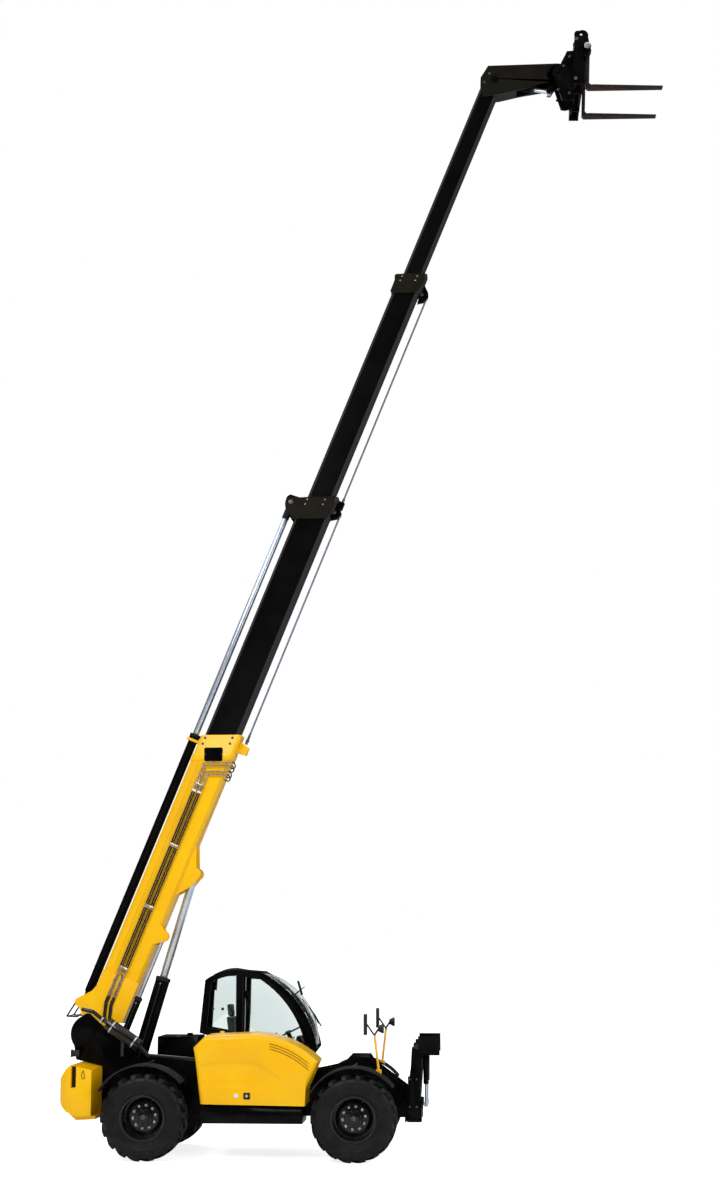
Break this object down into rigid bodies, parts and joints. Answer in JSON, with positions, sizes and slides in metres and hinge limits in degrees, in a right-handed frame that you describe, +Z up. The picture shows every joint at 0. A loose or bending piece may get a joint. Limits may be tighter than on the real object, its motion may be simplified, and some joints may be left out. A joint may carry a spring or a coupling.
{
  "type": "telehandler",
  "caption": "Four-section telescopic handler with raised, run-out boom, pallet forks, side engine hood, offset glazed cab, lugged tyres and front stabilisers.",
  "frame": {"origin": "on the ground under the middle of the whole machine's bounding box", "axes": "+X forward, +Y to the machine's left, +Z up"},
  "size_m": [9.2348, 2.415, 17.4006],
  "materials": {
    "yellow_paint": "gloss",
    "black_paint": "gloss",
    "axle_paint": "satin",
    "rim_paint": "gloss",
    "tyre_rubber": "matt",
    "chromed_rod": "polished",
    "bare_steel": "satin",
    "wire_rope": "satin",
    "exhaust_steel": "satin",
    "engine_iron": "matt",
    "guard_plastic": "matt",
    "post_paint": "satin",
    "cab_glass": "clear",
    "seat_cloth": "matt",
    "trim_plastic": "matt",
    "fork_steel": "satin"
  },
  "bodies": {
    "chassis": {"main_frame": "black_paint", "counterweight": "yellow_paint", "belly_box": "black_paint", "step_box": "black_paint", "engine_block": "engine_iron", "engine_bulkhead": "black_paint", "hydraulic_tank": "black_paint", "exhaust": "exhaust_steel", "axles": "axle_paint", "driveline": "axle_paint", "mudguards": "guard_plastic", "mirror_posts": "post_paint", "mirrors": "trim_plastic", "lamps": "trim_plastic", "cab_frame": "black_paint", "cab_floor": "black_paint", "windscreen": "cab_glass", "cab_windows": "cab_glass", "seat": "seat_cloth", "console": "trim_plastic", "armrest": "trim_plastic"},
    "hood": {"hood": "yellow_paint"},
    "cab_door": {"cab_door": "black_paint", "door_glass": "cab_glass"},
    "knuckle_front_left": {"knuckle_front_left": "axle_paint"},
    "wheel_front_left": {"wheel_front_left": "rim_paint", "tyre_front_left": "tyre_rubber"},
    "knuckle_front_right": {"knuckle_front_right": "axle_paint"},
    "wheel_front_right": {"wheel_front_right": "rim_paint", "tyre_front_right": "tyre_rubber"},
    "knuckle_rear_left": {"knuckle_rear_left": "axle_paint"},
    "wheel_rear_left": {"wheel_rear_left": "rim_paint", "tyre_rear_left": "tyre_rubber"},
    "knuckle_rear_right": {"knuckle_rear_right": "axle_paint"},
    "wheel_rear_right": {"wheel_rear_right": "rim_paint", "tyre_rear_right": "tyre_rubber"},
    "boom_1": {"boom_section_1": "yellow_paint", "boom_pipes": "bare_steel", "extension_barrel": "black_paint", "cable_2": "wire_rope"},
    "boom_2": {"boom_section_2": "black_paint", "extension_rod": "chromed_rod", "cable_3": "wire_rope"},
    "boom_3": {"boom_section_3": "black_paint"},
    "boom_4": {"boom_section_4": "black_paint"},
    "lift_barrel": {"lift_barrel": "black_paint"},
    "lift_rod": {"lift_rod": "chromed_rod"},
    "level_barrel": {"level_barrel": "black_paint"},
    "level_rod": {"level_rod": "chromed_rod"},
    "tilt_barrel": {"tilt_barrel": "black_paint"},
    "tilt_rod": {"tilt_rod": "chromed_rod"},
    "hitch": {"hitch_link": "black_paint"},
    "carriage": {"fork_carriage": "black_paint", "forks": "fork_steel"},
    "stabiliser_left": {"stabiliser_left": "black_paint"},
    "stabiliser_left_barrel": {"stabiliser_left_barrel": "black_paint"},
    "stabiliser_left_rod": {"stabiliser_left_rod": "chromed_rod"},
    "stabiliser_right": {"stabiliser_right": "black_paint"},
    "stabiliser_right_barrel": {"stabiliser_right_barrel": "black_paint"},
    "stabiliser_right_rod": {"stabiliser_right_rod": "chromed_rod"}
  },
  "joints": [
    {"name": "steer_front_left", "type": "hinge", "parent": "chassis", "child": "knuckle_front_left", "pos_m": [-0.20197, 0.84, 0.625], "axis": [0, 0, 1], "range_deg": [-30, 30]},
    {"name": "roll_front_left", "type": "hinge", "parent": "knuckle_front_left", "child": "wheel_front_left", "pos_m": [-0.20197, 1, 0.625], "axis": [0, 1, 0], "continuous": true},
    {"name": "steer_front_right", "type": "hinge", "parent": "chassis", "child": "knuckle_front_right", "pos_m": [-0.20197, -0.84, 0.625], "axis": [0, 0, 1], "range_deg": [-30, 30]},
    {"name": "roll_front_right", "type": "hinge", "parent": "knuckle_front_right", "child": "wheel_front_right", "pos_m": [-0.20197, -1, 0.625], "axis": [0, 1, 0], "continuous": true},
    {"name": "steer_rear_left", "type": "hinge", "parent": "chassis", "child": "knuckle_rear_left", "pos_m": [-3.25197, 0.84, 0.625], "axis": [0, 0, 1], "range_deg": [-30, 30]},
    {"name": "roll_rear_left", "type": "hinge", "parent": "knuckle_rear_left", "child": "wheel_rear_left", "pos_m": [-3.25197, 1, 0.625], "axis": [0, 1, 0], "continuous": true},
    {"name": "steer_rear_right", "type": "hinge", "parent": "chassis", "child": "knuckle_rear_right", "pos_m": [-3.25197, -0.84, 0.625], "axis": [0, 0, 1], "range_deg": [-30, 30]},
    {"name": "roll_rear_right", "type": "hinge", "parent": "knuckle_rear_right", "child": "wheel_rear_right", "pos_m": [-3.25197, -1, 0.625], "axis": [0, 1, 0], "continuous": true},
    {"name": "hood_hinge", "type": "hinge", "parent": "chassis", "child": "hood", "pos_m": [-1.65197, -0.366, 1.8], "axis": [-1, 0, 0], "range_deg": [0, 50]},
    {"name": "cab_door_hinge", "type": "hinge", "parent": "chassis", "child": "cab_door", "pos_m": [-2.04397, 1.186, 1.8], "axis": [0, 0, 1], "range_deg": [0, 80]},
    {"name": "boom_lift", "type": "hinge", "parent": "chassis", "child": "boom_1", "pos_m": [-4.25197, 0, 1.85], "axis": [0, -1, 0], "range_deg": [-69, 2]},
    {"name": "telescope_2", "type": "slide", "parent": "boom_1", "child": "boom_2", "axis": [0.3746, 0, 0.9272], "range_m": [-3.65, 0], "deforming": ["cable_2", "cable_3"]},
    {"name": "telescope_3", "type": "slide", "parent": "boom_2", "child": "boom_3", "axis": [0.3746, 0, 0.9272], "range_m": [-3.45002, 0]},
    {"name": "telescope_4", "type": "slide", "parent": "boom_3", "child": "boom_4", "axis": [0.3746, 0, 0.9272], "range_m": [-3.08002, 0]},
    {"name": "lift_barrel_swing", "type": "hinge", "parent": "chassis", "child": "lift_barrel", "pos_m": [-3.63197, 0, 1.05], "axis": [0, -1, 0], "range_deg": [-68.42, 2.18]},
    {"name": "lift_rod_slide", "type": "slide", "parent": "lift_barrel", "child": "lift_rod", "axis": [0.2803, 0, 0.9599], "range_m": [-1.14799, 0.03522]},
    {"name": "level_barrel_swing", "type": "hinge", "parent": "chassis", "child": "level_barrel", "pos_m": [-3.93197, -0.155, 1.28], "axis": [0, -1, 0], "range_deg": [-66.83, 2.13]},
    {"name": "level_rod_slide", "type": "slide", "parent": "level_barrel", "child": "level_rod", "axis": [0.371, 0, 0.9286], "range_m": [-0.73912, 0.02337]},
    {"name": "tilt_barrel_swing", "type": "hinge", "parent": "boom_4", "child": "tilt_barrel", "pos_m": [1.99801, 0, 16.88003], "axis": [0, -1, 0], "range_deg": [-0.34, 5.12]},
    {"name": "tilt_rod_slide", "type": "slide", "parent": "tilt_barrel", "child": "tilt_rod", "axis": [0.9793, 0, -0.2026], "range_m": [-0.01089, 0.30872]},
    {"name": "hitch_level", "type": "hinge", "parent": "boom_4", "child": "hitch", "pos_m": [2.99801, 0, 16.95003], "axis": [0, -1, 0], "range_deg": [-2, 69]},
    {"name": "fork_tilt", "type": "hinge", "parent": "hitch", "child": "carriage", "pos_m": [2.99801, 0, 16.95003], "axis": [0, 1, 0], "range_deg": [-12, 40]},
    {"name": "stabiliser_left_swing", "type": "hinge", "parent": "chassis", "child": "stabiliser_left", "pos_m": [0.63803, 0.42, 0.6], "axis": [-1, 0, 0], "range_deg": [0, 120]},
    {"name": "stabiliser_left_barrel_swing", "type": "hinge", "parent": "stabiliser_left", "child": "stabiliser_left_barrel", "pos_m": [0.82303, 0.45, 1.45], "axis": [-1, 0, 0], "range_deg": [-12.99, 0.2]},
    {"name": "stabiliser_left_rod_slide", "type": "slide", "parent": "stabiliser_left_barrel", "child": "stabiliser_left_rod", "axis": [0, -0.2912, -0.9567], "range_m": [-0.002, 0.36947]},
    {"name": "stabiliser_right_swing", "type": "hinge", "parent": "chassis", "child": "stabiliser_right", "pos_m": [0.63803, -0.42, 0.6], "axis": [1, 0, 0], "range_deg": [0, 120]},
    {"name": "stabiliser_right_barrel_swing", "type": "hinge", "parent": "stabiliser_right", "child": "stabiliser_right_barrel", "pos_m": [0.82303, -0.45, 1.45], "axis": [1, 0, 0], "range_deg": [-12.99, 0.2]},
    {"name": "stabiliser_right_rod_slide", "type": "slide", "parent": "stabiliser_right_barrel", "child": "stabiliser_right_rod", "axis": [0, 0.2912, -0.9567], "range_m": [-0.002, 0.36947]}
  ],
  "couplings": [
    {"joint": "steer_front_right", "follows": "steer_front_left", "ratio": 1},
    {"joint": "steer_rear_right", "follows": "steer_rear_left", "ratio": 1},
    {"joint": "telescope_3", "follows": "telescope_2", "ratio": 0.9452},
    {"joint": "telescope_4", "follows": "telescope_2", "ratio": 0.84384},
    {"joint": "lift_barrel_swing", "follows": "boom_lift", "ratio": 0.98873},
    {"joint": "lift_rod_slide", "follows": "boom_lift", "m_per_rad": 0.9516},
    {"joint": "level_barrel_swing", "follows": "boom_lift", "ratio": 0.96562},
    {"joint": "level_rod_slide", "follows": "boom_lift", "m_per_rad": 0.61209},
    {"joint": "tilt_barrel_swing", "follows": "boom_lift", "ratio": -0.071247},
    {"joint": "tilt_rod_slide", "follows": "boom_lift", "m_per_rad": -0.2547},
    {"joint": "hitch_level", "follows": "boom_lift", "ratio": -1},
    {"joint": "stabiliser_left_barrel_swing", "follows": "stabiliser_left_swing", "ratio": -0.10658},
    {"joint": "stabiliser_left_rod_slide", "follows": "stabiliser_left_swing", "m_per_rad": 0.17546},
    {"joint": "stabiliser_right_barrel_swing", "follows": "stabiliser_right_swing", "ratio": -0.10658},
    {"joint": "stabiliser_right_rod_slide", "follows": "stabiliser_right_swing", "m_per_rad": 0.17546}
  ]
}
